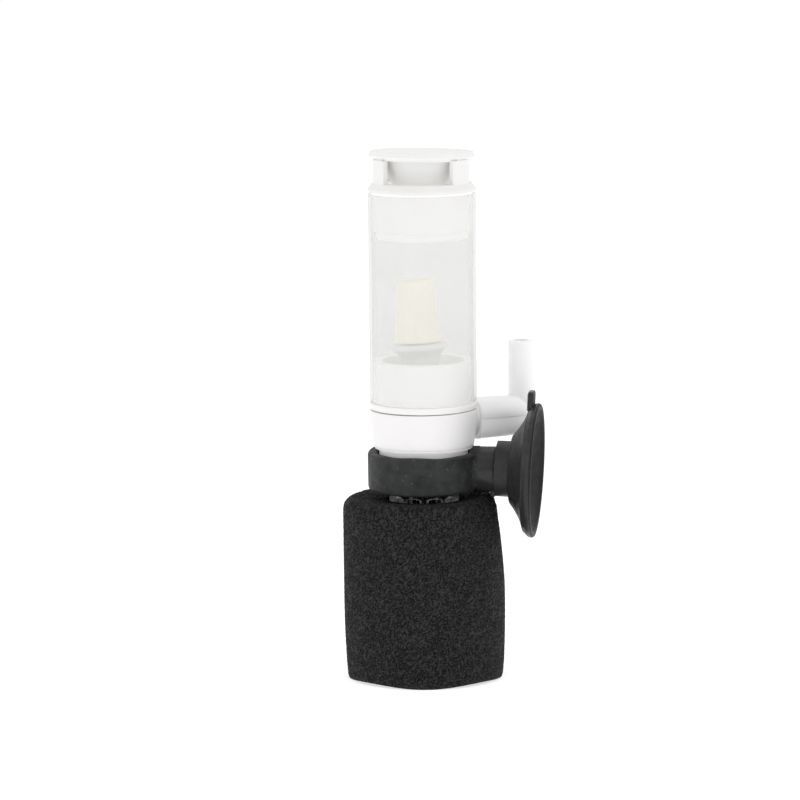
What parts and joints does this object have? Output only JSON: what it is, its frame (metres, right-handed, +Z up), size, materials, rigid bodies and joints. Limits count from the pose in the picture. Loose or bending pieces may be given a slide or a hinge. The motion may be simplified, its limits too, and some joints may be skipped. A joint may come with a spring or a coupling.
{
  "type": "aquarium air diffuser sponge filter",
  "caption": "Upright air-driven aquarium diffuser: foam sponge, slotted strainer, base with air elbow, suction-cup ring, frosted bubble tube with a stone, outlet cap.",
  "frame": {"origin": "centre of the sponge's flat bottom face, on the tube's axis", "axes": "+Z up along the tube, +X along the suction cup's axis towards the glass, air elbow 40 degrees from +X towards +Y"},
  "size_m": [0.036, 0.0313, 0.098],
  "materials": {
    "foam": "open-cell black polyurethane foam",
    "clear_plastic": "clear moulded plastic",
    "white_plastic": "smooth white moulded plastic",
    "stone_ceramic": "unglazed porous cream ceramic",
    "frosted_plastic": "frosted translucent plastic",
    "ring_rubber": "dull black rubber, slightly rough",
    "cup_rubber": "soft black rubber, satin"
  },
  "bodies": {
    "base": {"inlet_base": "white_plastic", "tube_adaptor": "white_plastic", "stone_holder": "white_plastic", "intake_strainer": "clear_plastic"},
    "sponge": {"filter_sponge": "foam"},
    "holder": {"holder_ring": "ring_rubber"},
    "cup": {"suction_cup": "cup_rubber"},
    "elbow": {"air_inlet_elbow": "white_plastic"},
    "stone": {"air_stone": "stone_ceramic"},
    "tube": {"bubble_tube": "frosted_plastic"},
    "cap": {"outlet_cap": "white_plastic", "flow_deflector": "white_plastic"}
  },
  "joints": [
    {"name": "holder_swivel", "type": "hinge", "parent": "base", "child": "holder", "pos_m": [0, 0, 0.039], "axis": [0, 0, 1], "range_deg": [-250, 4]},
    {"name": "cup_spin", "type": "hinge", "parent": "holder", "child": "cup", "pos_m": [0.0134, 0, 0.039], "axis": [1, 0, 0], "continuous": true},
    {"name": "elbow_swivel", "type": "hinge", "parent": "base", "child": "elbow", "pos_m": [0.0077, 0.00646, 0.0478], "axis": [0.766, 0.6428, 0], "range_deg": [-60, 30]},
    {"name": "sponge_pull", "type": "slide", "parent": "base", "child": "sponge", "axis": [0, 0, -1], "range_m": [0, 0.03]},
    {"name": "tube_lift", "type": "slide", "parent": "base", "child": "tube", "axis": [0, 0, 1], "range_m": [0, 0.025]},
    {"name": "cap_lift", "type": "slide", "parent": "tube", "child": "cap", "axis": [0, 0, 1], "range_m": [0, 0.012]},
    {"name": "stone_pull", "type": "slide", "parent": "base", "child": "stone", "axis": [0, 0, 1], "range_m": [0, 0.006]}
  ]
}
